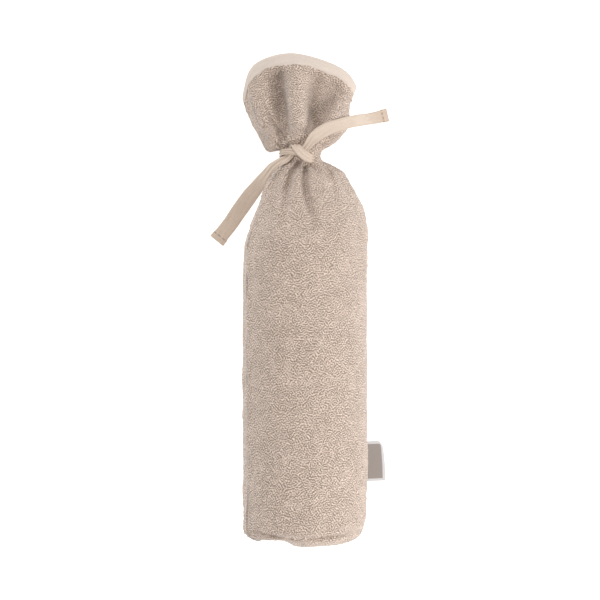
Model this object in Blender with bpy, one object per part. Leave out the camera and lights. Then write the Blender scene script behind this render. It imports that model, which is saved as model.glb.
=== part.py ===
"""Hot water bottle cover in terry cloth, lying on its back, tied at the neck with a flat tape.

Two terry panels are sewn together at the sides and the foot. A knit binding folds over the mouth,
a tape gathers the neck and ends in a half knot, and a woven label is caught in the right seam.
Frame: millimetres below, written in metres. +Z is up, +Y runs from the foot to the mouth and +X
to the right of somebody who looks down on the cover. The origin is on the flat underside.
"""

import math

import bpy
import numpy as np

MM = 0.001

# The two side seams lie in a plane that is rolled about the length: left seam high, right seam low.
SEAM_ROLL = math.radians(25)
GAP = 0.33  # between pieces that are sewn together
TERRY = 2.5  # thickness of the terry cloth
SHARP_EDGE = math.radians(65)

# One row for each cross-section, from the foot seam to the mouth. y is the section's middle, left,
# right, top and under are its reach, close is 1 where it is open and 0 where it is a flat seam,
# wall is how deep the cloth is bunched, pleat is the height of the even gathers, lag_left and
# lag_right are how far its sides trail its middle, and rows is the mesh rows up to the next one.
SECTION_COLUMNS = (
    "y", "left", "right", "top", "under", "close", "wall", "pleat", "lag_left", "lag_right", "rows",
)
SECTIONS = (
    (-109.0, -31.0, 29.0, 70.5, 10.5, 0.00, TERRY, 0.0, -4.6, -2.0, 2),
    (-110.4, -35.5, 33.5, 75.0, 6.0, 0.36, TERRY, 0.0, -4.6, -2.0, 2),
    (-110.8, -39.0, 37.2, 78.5, 2.5, 0.66, TERRY, 0.0, -4.6, -2.0, 2),
    (-107.3, -42.3, 40.0, 81.6, -0.5, 0.88, TERRY, 0.0, -3.0, -1.2, 2),
    (-101.0, -44.3, 42.0, 83.7, -2.6, 0.97, TERRY, 0.0, 0.0, -1.0, 2),
    (-88.0, -44.6, 43.8, 84.0, -3.0, 1.00, TERRY, 0.0, 0.0, 0.0, 1),
    (-60.0, -44.8, 45.3, 84.0, -3.0, 1.00, TERRY, 0.0, 0.0, 0.0, 1),
    (0.0, -44.8, 44.8, 84.0, -3.0, 1.00, TERRY, 0.0, 0.0, 0.0, 1),
    (60.0, -44.7, 44.6, 84.0, -3.0, 1.00, TERRY, 0.0, 0.0, 0.0, 1),
    (100.0, -44.5, 44.8, 83.5, -3.0, 1.00, TERRY, 0.1, 0.0, 0.0, 2),
    (118.0, -40.0, 45.8, 80.0, -2.0, 1.00, TERRY, 0.5, 0.0, 0.0, 3),
    (134.0, -34.0, 41.2, 72.5, 5.0, 1.00, TERRY, 1.0, 0.0, 0.0, 3),
    (148.0, -28.2, 34.4, 64.0, 13.0, 1.00, 3.6, 1.4, 0.0, 0.0, 3),
    (158.0, -20.4, 28.4, 57.0, 19.5, 1.00, 6.5, 1.2, 0.0, 0.0, 2),
    (165.8, -16.1, 12.5, 52.3, 23.7, 1.00, 10.0, 0.2, 0.0, 0.0, 1),
    (173.8, -16.1, 12.5, 52.3, 23.7, 1.00, 10.0, 0.2, 0.0, 0.0, 2),
    (180.0, -25.5, 17.5, 54.5, 20.0, 1.00, 6.5, 1.0, 6.2, 4.0, 2),
    (191.0, -31.6, 26.6, 57.0, 12.0, 1.00, 3.8, 1.5, 11.5, 8.0, 3),
    (205.0, -37.0, 33.2, 57.0, 4.0, 1.00, TERRY, 1.6, 15.0, 13.0, 3),
    (220.0, -41.7, 33.4, 55.0, -1.0, 1.00, TERRY, 1.4, 20.0, 17.0, 3),
    (235.0, -44.7, 36.0, 51.5, 0.5, 1.00, TERRY, 0.4, 26.0, 19.5, 2),
    (243.0, -45.5, 38.0, 49.0, 1.0, 1.00, TERRY, 0.3, 29.0, 21.5, 0),
)
CREST = -0.3  # where across a section the lobes start to trail it, from -1 at left to 1
FOOT_CREST = 0.25  # the same for the foot, whose sides lead
FOOT_SLANT = 1.0  # how suddenly its left side leads
FOOT_ROUND = 2.4
LOBE_ROUND = 3.0  # how suddenly they trail at the lobes
ARCH_CREST = -0.15  # where across the mouth's arch is highest
ARCH_ROUND = 1.9
ARCH_CORNER = 12.0  # how suddenly it turns down at its corners
ARCH_SHARE_LEFT = 0.64  # share of its drop in the corner
ARCH_SHARE_RIGHT = 0.25
ARCH_SECTIONS = 3.0  # how many sections below the mouth it begins
PLEATS = 11  # even gathers round the neck
LOBE_LAG = 15.0  # how far a lobe sags over the tape where its cloth faces the foot
LAST = len(SECTIONS) - 1
FIRST_STRAIGHT = 5  # the section where the straight body starts
WALL = SECTION_COLUMNS.index("wall")

# One row for each main fold of the upper side, seen from above: it runs through three places, with
# its depth at each (negative is a ridge), its half-width at both ends on the left of its line, and
# the share of that on the right, which is under 1 where its right wall is the steeper one.
FOLD_COLUMNS = (
    "name", "x0", "y0", "x1", "y1", "x2", "y2", "d0", "d1", "d2", "w0", "w2", "right_share",
)
FOLDS = (
    ("left hollow", -18.5, 228.0, -16.2, 205.0, -15.0, 180.0, 9.0, 15.0, 7.0, 9.5, 5.0, 0.42),
    ("middle ridge", -8.0, 236.0, -7.5, 207.0, -4.5, 184.0, -1.0, -2.5, -1.5, 4.5, 3.5, 1.2),
    ("right hollow", 9.0, 221.0, 4.8, 204.0, 3.5, 186.0, 6.0, 13.0, 10.0, 4.2, 3.2, 3.0),
    ("right lobe dish", 26.0, 219.0, 18.0, 206.0, 11.0, 192.0, 5.0, 9.5, 4.5, 6.5, 5.5, 1.2),
    ("left lobe crease", -38.5, 212.0, -28.0, 196.0, -16.0, 177.0, 1.0, 2.5, 1.5, 2.5, 2.0, 1.0),
    ("left shoulder fold", -5.0, 164.0, -14.5, 148.0, -15.5, 122.0, 4.0, 5.0, 0.5, 2.8, 5.0, 1.0),
    ("right shoulder fold", 0.5, 162.0, 1.0, 143.0, 7.0, 116.0, 4.0, 4.0, 0.3, 2.6, 5.0, 1.0),
    ("short fold", 2.0, 163.0, 8.0, 159.0, 13.5, 156.0, 3.0, 4.0, 1.0, 2.0, 2.4, 1.0),
    ("outer shoulder fold", 12.0, 163.0, 17.0, 156.0, 21.0, 144.0, 1.5, 2.5, 0.4, 2.2, 3.0, 1.0),
    ("left seam fold", -18.0, 158.0, -27.5, 143.0, -36.0, 122.0, 2.0, 3.0, 0.5, 2.4, 4.0, 1.0),
    ("foot crease right", 4.0, -102.0, 17.0, -101.0, 29.0, -101.0, 1.0, 2.4, 0.7, 2.6, 2.4, 1.0),
    ("foot crease left", -34.0, -101.5, -20.0, -102.5, -6.0, -104.0, 1.2, 2.5, 1.5, 2.6, 2.6, 1.0),
    ("foot notch", -3.5, -103.0, -3.6, -108.0, -3.6, -113.0, 1.5, 3.5, 3.5, 2.6, 2.6, 1.0),
)
FOLD_STEPS = 97  # places along each fold's line
FOLD_SIDE = 0.35  # sine of the angle from a side seam at which the folds have their full depth
FOLD_FOOT = (0.3, 0.75)  # how open a section is where the folds fade at the foot seam
FOLD_MOUTH = (1.7, 0.95)  # how many sections below the mouth they fade under the binding
BUNCH_LEVEL = 0.6  # how far the folds of deeply bunched cloth are levelled inside
LOBE_SECTIONS = (4, 2)  # how many sections below the mouth the lobes' overhang ends

# Panels: columns of cells across each, and how much closer together they are on the upper side.
FRONT_COLUMNS = 36
BACK_COLUMNS = 18
TOP_DENSITY = 1.5
TOP_SPREAD = math.radians(50)

# Binding: a knit strip folded over the mouth, with the terry pressed thin between its legs.
BINDING_WIDTH = 7.0
BINDING_CLOTH = 0.9
BINDING_ROUND = 1.2  # how far down from the fold its legs are straight
BINDING_BEVEL = 0.1
PRESSED_OUT = 1.25  # how far the terry's face is pressed in under the binding
PRESSED_IN = 2.65  # where its other face lies there
PRESSED_FROM = 3.0  # how far below the binding the pressing starts
PRESSED_FULL = 1.0
BINDING_SLACK = 0.95  # room over the terry on the face, which takes the gap of the seams too
BINDING_SLACK_IN = 0.45
CREST_ROOM = BINDING_CLOTH + 1.2  # from the binding's fold to the terry's edge
RIM_SPAN = SECTIONS[-1][0] - SECTIONS[-2][0]

# Neck and tape. The neck is round where the tape lies in it.
NECK_X = -1.8
NECK_Z = 38.0
NECK_RADIUS = 14.3
NECK_ROOM = 0.6  # between the neck's cloth and the tape
TAPE_THICK = 1.1
TAPE_TIED_WIDTH = 6.6  # where the tape is pulled into a crumpled band
BAND_RADIUS = NECK_RADIUS + NECK_ROOM + TAPE_THICK / 2
BAND_STEPS = 11

# The tape's route: x, y, z of its middle line, the way its face looks and its width there. It
# starts at the tip of the left end, which lies on the floor, and ends at that of the right end.
LEFT_END = (
    (-65.8, 109.2, 0.9, 0.0, 0.0, -1.0, 11.6),
    (-60.8, 115.4, 0.9, 0.0, 0.0, -1.0, 11.4),
    (-55.7, 121.8, 1.3, 0.1, 0.1, -1.0, 11.4),
    (-50.8, 128.8, 3.6, 0.3, 0.2, -1.0, 11.6),
    (-45.6, 135.7, 8.2, 0.4, 0.3, -0.9, 11.8),
    (-40.1, 142.6, 14.6, 0.5, 0.3, -0.8, 11.6),
    (-34.6, 148.9, 22.4, 0.6, 0.3, -0.8, 10.4),
    (-29.6, 154.8, 31.2, 0.7, 0.2, -0.7, 8.2),
    (-24.2, 160.6, 40.6, 0.7, 0.1, -0.6, 7.0),
)
KNOT = (
    (-17.2, 164.8, 47.6, 0.8, 0.0, -0.6, 6.6),
    (-12.9, 167.1, 49.8, 0.7, 0.0, -0.8, 6.2),
    (-9.9, 170.9, 51.8, 0.4, 0.0, -1.0, 5.8),
    (-8.4, 174.0, 53.2, 0.2, 0.4, -1.0, 6.0),
    (-7.2, 175.6, 55.4, 0.0, 1.0, 0.0, 6.2),
    (-5.8, 174.1, 57.7, 0.0, 0.4, 1.0, 6.4),
    (-3.0, 170.8, 58.4, 0.0, 0.0, 1.0, 6.8),
    (0.2, 168.1, 58.0, 0.1, -0.1, 1.0, 7.0),
    (4.0, 167.2, 56.2, 0.3, -0.2, 1.0, 7.0),
    (7.8, 168.4, 53.2, 0.6, -0.1, 0.8, 7.0),
    (11.1, 169.8, 48.4, 0.8, 0.0, 0.6, 7.0),
)
CROSSING = (
    (-17.7, 170.4, 41.0, -1.0, 0.0, 0.2, 5.4),
    (-17.2, 171.2, 46.4, -0.9, 0.0, 0.4, 4.6),
    (-14.4, 171.5, 51.4, -0.8, 0.0, 0.7, 4.2),
    (-10.8, 171.4, 54.9, -0.6, 0.0, 0.9, 4.4),
    (-6.8, 171.0, 56.3, -0.2, 0.0, 1.0, 5.0),
    (-2.5, 171.8, 56.3, 0.0, 0.0, 1.0, 5.2),
    (0.8, 174.2, 56.6, 0.1, 0.0, 1.0, 5.6),
)
RIGHT_END = (
    (3.4, 177.4, 58.0, 0.1, -0.1, 1.0, 6.8),
    (7.0, 181.2, 59.6, 0.1, 0.1, 1.0, 8.4),
    (12.0, 185.0, 58.8, 0.2, 0.2, 1.0, 9.4),
    (18.0, 188.2, 55.8, 0.3, 0.2, 1.0, 9.8),
    (24.6, 190.8, 50.6, 0.5, 0.2, 0.9, 10.0),
    (31.4, 193.4, 43.0, 0.8, 0.2, 0.7, 9.8),
    (37.2, 195.4, 33.0, 0.9, 0.2, 0.5, 9.8),
    (42.2, 197.4, 20.6, 0.9, 0.2, 0.4, 9.6),
    (47.0, 199.1, 9.0, 0.8, 0.2, 0.6, 9.4),
    (52.2, 200.7, 2.2, 0.3, 0.1, 1.0, 9.2),
    (57.2, 202.0, 0.9, 0.0, 0.0, 1.0, 9.2),
    (62.0, 203.1, 0.9, 0.0, 0.0, 1.0, 9.4),
)
TAPE_STEPS_PER_POINT = 2
TAPE_EDGE = 0.8  # how round its two edges are, as a share of half its thickness

# Label: a folded woven strip that stands out of the right seam.
LABEL_LOW = -66.3
LABEL_HIGH = -37.0
LABEL_REACH = 18.5
LABEL_THICK = 1.2
LABEL_SEAM_ROOM = 0.5
LABEL_CORNER = 4.0
LABEL_CORNER_FROM = 0.78  # where its outer corners start to round off, as a share of its reach
LABEL_CURL = 1.6  # how far its upper outer corner hangs
LABEL_SLOPE = math.radians(-24)
LABEL_ROWS = 9
LABEL_POINTS = 7

# Colours as they look in soft daylight, for linear light.
TERRY_COLOUR = (0.56, 0.45, 0.37, 1.0)
KNIT_COLOUR = (0.69, 0.58, 0.49, 1.0)
LABEL_COLOUR = (0.36, 0.31, 0.27, 1.0)


def clear_scene():
    """Empties the scene of whatever a new file starts with."""
    for item in list(bpy.data.objects):
        bpy.data.objects.remove(item, do_unlink=True)


def cloth_material(name, colour, roughness):
    """A plain cloth finish."""
    material = bpy.data.materials.new(name)
    material.use_nodes = True
    shader = material.node_tree.nodes["Principled BSDF"]
    shader.inputs["Base Color"].default_value = colour
    shader.inputs["Roughness"].default_value = roughness
    shader.inputs["Metallic"].default_value = 0.0
    material.diffuse_color = colour
    return material


def solid(name, points, faces, material):
    """One closed body of its own from points in millimetres."""
    mesh = bpy.data.meshes.new(name)
    mesh.from_pydata((np.asarray(points) * MM).tolist(), [], faces)
    mesh.validate()
    mesh.materials.append(material)
    mesh.shade_smooth()
    mesh.set_sharp_from_angle(angle=SHARP_EDGE)
    item = bpy.data.objects.new(name, mesh)
    bpy.context.scene.collection.objects.link(item)
    return item


def smooth_row(table, at):
    """Values between a table's rows: a smooth curve that runs through each row, for all of at."""
    rows = np.asarray(table, dtype=float)
    last = len(rows) - 1
    low = np.clip(np.floor(at).astype(int), 0, last - 1)
    part = (np.clip(at, 0, last) - low)[..., None]
    before = rows[np.clip(low - 1, 0, last)]
    start = rows[low]
    end = rows[low + 1]
    after = rows[np.clip(low + 2, 0, last)]
    slope_in = (end - before) / 2
    slope_out = (after - start) / 2
    return (
        start * (2 * part**3 - 3 * part**2 + 1)
        + slope_in * (part**3 - 2 * part**2 + part)
        + end * (3 * part**2 - 2 * part**3)
        + slope_out * (part**3 - part**2)
    )


def ease(low, high, value):
    """0 below low, 1 above high and a smooth rise between them."""
    share = np.clip((value - low) / (high - low), 0, 1)
    return share * share * (3 - 2 * share)


def fold_depth(x, y):
    """How deep the upper side's folds press in at a place seen from above."""
    total = np.zeros(np.broadcast(x, y).shape)
    for row in FOLDS:
        fold = dict(zip(FOLD_COLUMNS, row))
        along = np.linspace(0, 2, FOLD_STEPS)
        line_x = smooth_row([[fold["x0"]], [fold["x1"]], [fold["x2"]]], along)[:, 0]
        line_y = smooth_row([[fold["y0"]], [fold["y1"]], [fold["y2"]]], along)[:, 0]
        depths = smooth_row([[fold["d0"]], [fold["d1"]], [fold["d2"]]], along)[:, 0]
        widths = np.linspace(fold["w0"], fold["w2"], FOLD_STEPS)
        away = np.hypot(x[..., None] - line_x, y[..., None] - line_y)
        nearest = away.argmin(-1)
        width = widths[nearest] * np.where(x > line_x[nearest], fold["right_share"], 1)
        total += depths[nearest] * np.exp(-((away.min(-1) / width) ** 2))
    return total


def trailing(across, v, at):
    """How far each place trails its section's middle: a power of the share across.

    The power is low at the foot and higher at the lobes; the mouth's arch adds a high power, for
    its corners.
    """
    foot = v < FIRST_STRAIGHT
    crest = np.where(foot, FOOT_CREST, CREST)
    left = np.clip((crest - across) / (1 + crest), 0, None)
    right = np.clip((across - crest) / (1 - crest), 0, None)
    arch_left = np.clip((ARCH_CREST - across) / (1 + ARCH_CREST), 0, None)
    arch_right = np.clip((across - ARCH_CREST) / (1 - ARCH_CREST), 0, None)
    arch_left, arch_right = (
        (1 - share) * side**ARCH_ROUND + share * side**ARCH_CORNER
        for side, share in ((arch_left, ARCH_SHARE_LEFT), (arch_right, ARCH_SHARE_RIGHT))
    )
    arch = ease(LAST - ARCH_SECTIONS, LAST, v)
    left = left ** np.where(foot, FOOT_SLANT, LOBE_ROUND) * (1 - arch) + arch_left * arch
    right = right ** np.where(foot, FOOT_ROUND, LOBE_ROUND) * (1 - arch) + arch_right * arch
    return at["lag_left"] * left + at["lag_right"] * right


def shell(theta, v, inset):
    """Places on the bag, inset from its face, for theta round it and v along its sections.

    Each section is an ellipse. It is closed towards the seams' plane near the foot, its sides
    trail its middle, the gathers press it in towards its middle and the folds press it down, and
    it is flat where it meets the floor.
    """
    theta, v, inset = np.broadcast_arrays(*(np.asarray(a, dtype=float) for a in (theta, v, inset)))
    at = dict(zip(SECTION_COLUMNS, np.moveaxis(smooth_row(SECTIONS, v), -1, 0)))
    turn = theta - SEAM_ROLL
    across, up = np.cos(turn), np.sin(turn)
    close = np.clip(at["close"], 0, 1)
    half_width = (at["right"] - at["left"]) / 2
    half_height = (at["top"] - at["under"]) / 2
    middle_x = (at["left"] + at["right"]) / 2
    lag = trailing(across, v, at)
    dx = (half_width - inset) * across
    dz = (half_height - inset) * up
    open_share = np.clip(close * half_height - inset, 0, None) / (half_height - inset)
    cos_roll, sin_roll = math.cos(SEAM_ROLL), math.sin(SEAM_ROLL)
    flat = dx * cos_roll - dz * sin_roll
    thick = (dx * sin_roll + dz * cos_roll) * open_share
    dx = flat * cos_roll + thick * sin_roll
    dz = thick * cos_roll - flat * sin_roll
    bunched = TERRY / np.maximum(inset, TERRY)
    gather = at["pleat"] * (1 + np.cos(PLEATS * turn)) / 2 * bunched
    overhang_from, overhang_to = (LAST - below for below in LOBE_SECTIONS)
    overhang = np.clip(lag / LOBE_LAG, 0, 1) * (1 - ease(overhang_from, overhang_to, v))
    y = at["y"] - lag + inset * (1 - close**2 + overhang)
    x = middle_x + dx - gather * across
    press = fold_depth(x, y) * ease(0.0, FOLD_SIDE, np.sin(theta)) * ease(*FOLD_FOOT, close)
    press = press * (1 - ease(*(LAST - below for below in FOLD_MOUTH), v))
    level = BUNCH_LEVEL * np.clip(inset - TERRY, 0, None)
    press = press - np.minimum(press * (1 - bunched), level)
    z = (at["top"] + at["under"]) / 2 + dz - gather * up - press
    return np.stack([x, y, np.maximum(z, np.clip(inset, 0, None))], -1)


def section_rows():
    """Where the mesh rows lie along the sections, ending under the binding's crest."""
    marks = [0.0]
    for low, row in enumerate(SECTIONS[:-1]):
        marks += [low + (step + 1) / row[-1] for step in range(row[-1])]
    marks[-1] = LAST - CREST_ROOM / RIM_SPAN
    return np.array(marks)


def columns_round(start, end, count):
    """Angles across a panel, closer together on the cover's upper side, where the folds are."""
    fine = np.linspace(start, end, 361)
    density = 1 + TOP_DENSITY * np.exp(-(((fine - SEAM_ROLL - math.pi / 2) / TOP_SPREAD) ** 2))
    reached = np.concatenate([[0], np.cumsum((density[1:] + density[:-1]) / 2)])
    return np.interp(np.linspace(0, reached[-1], count + 1), reached, fine)


def pressed(v):
    """Inset of the terry's face: it is pressed in where the binding covers it."""
    low = LAST - (BINDING_WIDTH + PRESSED_FROM) / RIM_SPAN
    high = LAST - (BINDING_WIDTH + PRESSED_FULL) / RIM_SPAN
    return PRESSED_OUT * ease(low, high, v)


def panel(name, start, end, columns, shift, material):
    """A terry panel between two angles: its face, its back and the edges between them."""
    v = section_rows()[:, None]
    theta = columns_round(start, end, columns)[None, :]
    walls = np.interp(v, np.arange(len(SECTIONS)), [row[WALL] for row in SECTIONS])
    walls = walls + (PRESSED_IN - TERRY) * (pressed(v) / PRESSED_OUT)
    face = shell(theta, v, pressed(v) + 0 * theta)
    back = shell(theta, v, walls + 0 * theta)
    move = np.array([math.sin(SEAM_ROLL), 0, math.cos(SEAM_ROLL)]) * shift
    rows, wide = face.shape[:2]
    points = np.concatenate([face.reshape(-1, 3), back.reshape(-1, 3)]) + move
    count = rows * wide

    faces = []
    for r in range(rows - 1):
        for c in range(wide - 1):
            a, b = r * wide + c, r * wide + c + 1
            e, f = a + wide, b + wide
            faces += [(a, e, f), (a, f, b)]
            faces += [(count + a, count + f, count + e), (count + a, count + b, count + f)]
    for c in range(wide - 1):
        low, high = c, (rows - 1) * wide + c
        faces.append((low, low + 1, count + low + 1, count + low))
        faces.append((high, count + high, count + high + 1, high + 1))
    for r in range(rows - 1):
        near, far = r * wide, r * wide + wide - 1
        faces.append((near, count + near, count + near + wide, near + wide))
        faces.append((far, far + wide, count + far + wide, count + far))
    return solid(name, points, faces, material)


def ring(name, loops, material):
    """A closed ring from loops of points: each loop is one section, and the last meets the first."""
    around, size = loops.shape[:2]
    faces = []
    for i in range(around):
        j = (i + 1) % around
        for k in range(size):
            m = (k + 1) % size
            faces.append([i * size + k, i * size + m, j * size + m, j * size + k])
    return solid(name, loops.reshape(-1, 3), faces, material)


def mouth_binding(material):
    """The knit strip folded over the mouth's edge: an inverted U whose legs hold the terry."""
    outer = PRESSED_OUT - BINDING_SLACK
    inner = PRESSED_IN + BINDING_SLACK_IN
    section = (
        (outer, BINDING_WIDTH),
        (outer - BINDING_CLOTH, BINDING_WIDTH),
        (outer - BINDING_CLOTH, BINDING_ROUND),
        (outer + BINDING_BEVEL, 0.0),
        (inner - BINDING_BEVEL, 0.0),
        (inner + BINDING_CLOTH, BINDING_ROUND),
        (inner + BINDING_CLOTH, BINDING_WIDTH),
        (inner, BINDING_WIDTH),
        (inner, BINDING_CLOTH),
        (outer, BINDING_CLOTH),
    )
    inset = np.array([point[0] for point in section])[None, :]
    back = np.array([point[1] for point in section])[None, :]
    front = columns_round(0.0, math.pi, FRONT_COLUMNS)
    rear = columns_round(math.pi, 2 * math.pi, BACK_COLUMNS)
    theta = np.concatenate([front[:-1], rear[:-1]])[:, None]
    return ring("mouth_binding", shell(theta, LAST - back / RIM_SPAN, inset), material)


def tape_route():
    """The tape's stations from the left tip, through the knot, round the neck, to the right tip."""
    start = math.atan2(KNOT[-1][2] - NECK_Z, KNOT[-1][0] - NECK_X)
    end = math.atan2(CROSSING[0][2] - NECK_Z, CROSSING[0][0] - NECK_X) - 2 * math.pi
    share = (np.arange(BAND_STEPS) + 1) / (BAND_STEPS + 1)
    angle = start + (end - start) * share
    y = KNOT[-1][1] + (CROSSING[0][1] - KNOT[-1][1]) * share
    band = np.stack(
        [
            NECK_X + BAND_RADIUS * np.cos(angle),
            y,
            NECK_Z + BAND_RADIUS * np.sin(angle),
            np.cos(angle),
            0 * angle,
            np.sin(angle),
            0 * angle + TAPE_TIED_WIDTH,
        ],
        -1,
    )
    return np.concatenate([np.array(LEFT_END + KNOT), band, np.array(CROSSING + RIGHT_END)])


def tie(material):
    """The tape: a flat strip swept along its route, eight sides round and closed at both tips."""
    stations = tape_route()
    steps = (len(stations) - 1) * TAPE_STEPS_PER_POINT
    at = np.linspace(0, len(stations) - 1, steps + 1)
    values = smooth_row(stations, at)
    middle = values[:, :3]
    ahead = np.gradient(middle, axis=0)
    ahead /= np.linalg.norm(ahead, axis=1, keepdims=True)
    side = np.cross(ahead, values[:, 3:6])
    side /= np.linalg.norm(side, axis=1, keepdims=True)
    face = np.cross(side, ahead)
    half_width = values[:, 6:7] / 2
    half_thick = TAPE_THICK / 2
    edge = half_thick * TAPE_EDGE
    section = (
        (1, 0, -0.45), (1, 0, 0.45), (0, 1, 1.0), (0, -1, 1.0),
        (-1, 0, 0.45), (-1, 0, -0.45), (0, -1, -1.0), (0, 1, -1.0),
    )
    loops = np.stack(
        [
            middle
            + side * (outer * half_width + shoulder * (half_width - edge))
            + face * lift * half_thick
            for outer, shoulder, lift in section
        ],
        1,
    )
    size = loops.shape[1]
    faces = []
    for i in range(len(loops) - 1):
        for k in range(size):
            m = (k + 1) % size
            faces.append([i * size + k, (i + 1) * size + k, (i + 1) * size + m, i * size + m])
    faces.append(list(range(size)))
    faces.append([(len(loops) - 1) * size + k for k in reversed(range(size))])
    return solid("tie", loops.reshape(-1, 3), faces, material)


def label(material):
    """The woven label: a folded strip with round outer corners, bent a little along its length."""
    straight = [row[0] for row in SECTIONS[FIRST_STRAIGHT:]]
    seam_v = FIRST_STRAIGHT + np.interp((LABEL_LOW + LABEL_HIGH) / 2, straight, range(len(straight)))
    root = shell(0.0, seam_v, 0.0)
    out, along = np.meshgrid(np.linspace(0, 1, LABEL_POINTS), np.linspace(0, 1, LABEL_ROWS))
    reach = LABEL_SEAM_ROOM + out * LABEL_REACH
    length = LABEL_HIGH - LABEL_LOW
    corner = np.clip((out - LABEL_CORNER_FROM) / (1 - LABEL_CORNER_FROM), 0, 1)
    round_off = LABEL_CORNER * corner**2
    y = LABEL_LOW + round_off / 2 + along * (length - round_off)
    x = root[0] + reach * math.cos(LABEL_SLOPE)
    z = root[2] + reach * math.sin(LABEL_SLOPE) - LABEL_CURL * out**2 * along**2
    half = LABEL_THICK / 2 * np.where(out < 1, 1.0, 0.5)
    upper = np.stack([x, y, z + half], -1)
    lower = np.stack([x, y, z - half], -1)
    rows, wide = upper.shape[:2]
    count = rows * wide
    faces = []
    for r in range(rows - 1):
        for c in range(wide - 1):
            a = r * wide + c
            faces.append([a, a + 1, a + wide + 1, a + wide])
            faces.append([count + a, count + a + wide, count + a + wide + 1, count + a + 1])
    for c in range(wide - 1):
        high = (rows - 1) * wide + c
        faces.append([c, count + c, count + c + 1, c + 1])
        faces.append([high, high + 1, count + high + 1, count + high])
    for r in range(rows - 1):
        near, far = r * wide, r * wide + wide - 1
        faces.append([near, near + wide, count + near + wide, count + near])
        faces.append([far, count + far, count + far + wide, far + wide])
    points = np.concatenate([upper.reshape(-1, 3), lower.reshape(-1, 3)])
    return solid("label", points, faces, material)


clear_scene()
terry = cloth_material("terry", TERRY_COLOUR, 0.95)
knit = cloth_material("knit", KNIT_COLOUR, 0.85)
panel("panel_front", 0.0, math.pi, FRONT_COLUMNS, GAP, terry)
panel("panel_back", math.pi, 2 * math.pi, BACK_COLUMNS, 0.0, terry)
mouth_binding(knit)
tie(knit)
label(cloth_material("label_weave", LABEL_COLOUR, 0.7))
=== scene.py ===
"""A terry hot water bottle cover, lying filled on its back, its neck tied with a flat tape.

Tables are in millimetres, as a maker would measure the cover, and meshes are in metres. +Z is up,
+Y runs from the foot to the mouth and +X to the right of somebody who looks down on it.
"""

import math

import bpy
import numpy as np
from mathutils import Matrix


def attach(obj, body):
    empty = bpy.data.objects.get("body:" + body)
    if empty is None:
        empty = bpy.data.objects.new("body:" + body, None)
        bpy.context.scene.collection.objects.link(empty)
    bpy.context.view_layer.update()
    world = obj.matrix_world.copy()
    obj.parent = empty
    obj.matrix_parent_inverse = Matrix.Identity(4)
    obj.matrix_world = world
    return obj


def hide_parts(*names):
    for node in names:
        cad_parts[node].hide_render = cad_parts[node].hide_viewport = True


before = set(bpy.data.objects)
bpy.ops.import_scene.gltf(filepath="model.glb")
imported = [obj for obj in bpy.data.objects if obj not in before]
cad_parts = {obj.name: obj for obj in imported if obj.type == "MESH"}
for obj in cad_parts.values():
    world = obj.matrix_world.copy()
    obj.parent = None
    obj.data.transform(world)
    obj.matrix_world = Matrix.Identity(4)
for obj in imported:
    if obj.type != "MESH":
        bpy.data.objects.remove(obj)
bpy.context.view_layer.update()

# ---------------------------------------------------------------- the table, the light, the camera
# The cover lies on a white table that glows a little, under broad soft light that is stronger from
# the right of its foot, and is seen from straight above.

MM = 0.001
PHOTO_SIDE = 600  # pixels
PIXEL = 0.723 * MM  # on the cover's middle height
EYE_HEIGHT = 1.350
EYE_X, EYE_Y = -3.6 * MM, 65.07 * MM
MIDDLE_HEIGHT = 42 * MM
SENSOR = 36.0
TABLE_SIDE = 6.0
TABLE_GLOW = 0.6  # enough to be white right up to the cover
TABLE_GRAIN, TABLE_GRAIN_DEPTH = 900.0, 0.00002
LAMPS_FACE = (0.0, 0.07, 0.03)
STUDIO_LIGHT = 0.66  # the even light from all round


def soft_light(name, place, target, size, power, colour):
    """A square soft box at a place, turned to face a target."""
    lamp = bpy.data.lights.new(name, "AREA")
    lamp.shape = "SQUARE"
    lamp.size = size
    lamp.energy = power
    lamp.color = colour
    item = bpy.data.objects.new(name, lamp)
    item.location = place
    away = np.array(place) - np.array(target)
    flat = math.hypot(away[0], away[1])
    item.rotation_euler = (math.atan2(flat, away[2]), 0.0, math.atan2(away[0], -away[1]))
    bpy.context.scene.collection.objects.link(item)


class Shade:
    """A number in a finish. Its operators add Math nodes, so a pattern reads as a formula."""

    def __init__(self, finish, socket):
        self.finish, self.socket = finish, socket

    def maths(self, operation, *values):
        settings = {"operation": operation}
        return self.finish.node("ShaderNodeMath", settings, dict(enumerate(values)))

    def __add__(self, other):
        return self.maths("ADD", self, other)

    def __radd__(self, other):
        return self.maths("ADD", other, self)

    def __sub__(self, other):
        return self.maths("SUBTRACT", self, other)

    def __rsub__(self, other):
        return self.maths("SUBTRACT", other, self)

    def __mul__(self, other):
        return self.maths("MULTIPLY", self, other)

    def __rmul__(self, other):
        return self.maths("MULTIPLY", other, self)

    def __truediv__(self, other):
        return self.maths("DIVIDE", self, other)

    def clipped(self):
        """The same number, kept from 0 to 1."""
        return self.finish.node("ShaderNodeClamp", {}, {"Value": self})

    def rise(self, low, high):
        """0 below low, 1 above high and a smooth rise between them."""
        settings = {"interpolation_type": "SMOOTHSTEP"}
        return self.finish.node(
            "ShaderNodeMapRange", settings, {"Value": self, "From Min": low, "From Max": high}
        )


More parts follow.
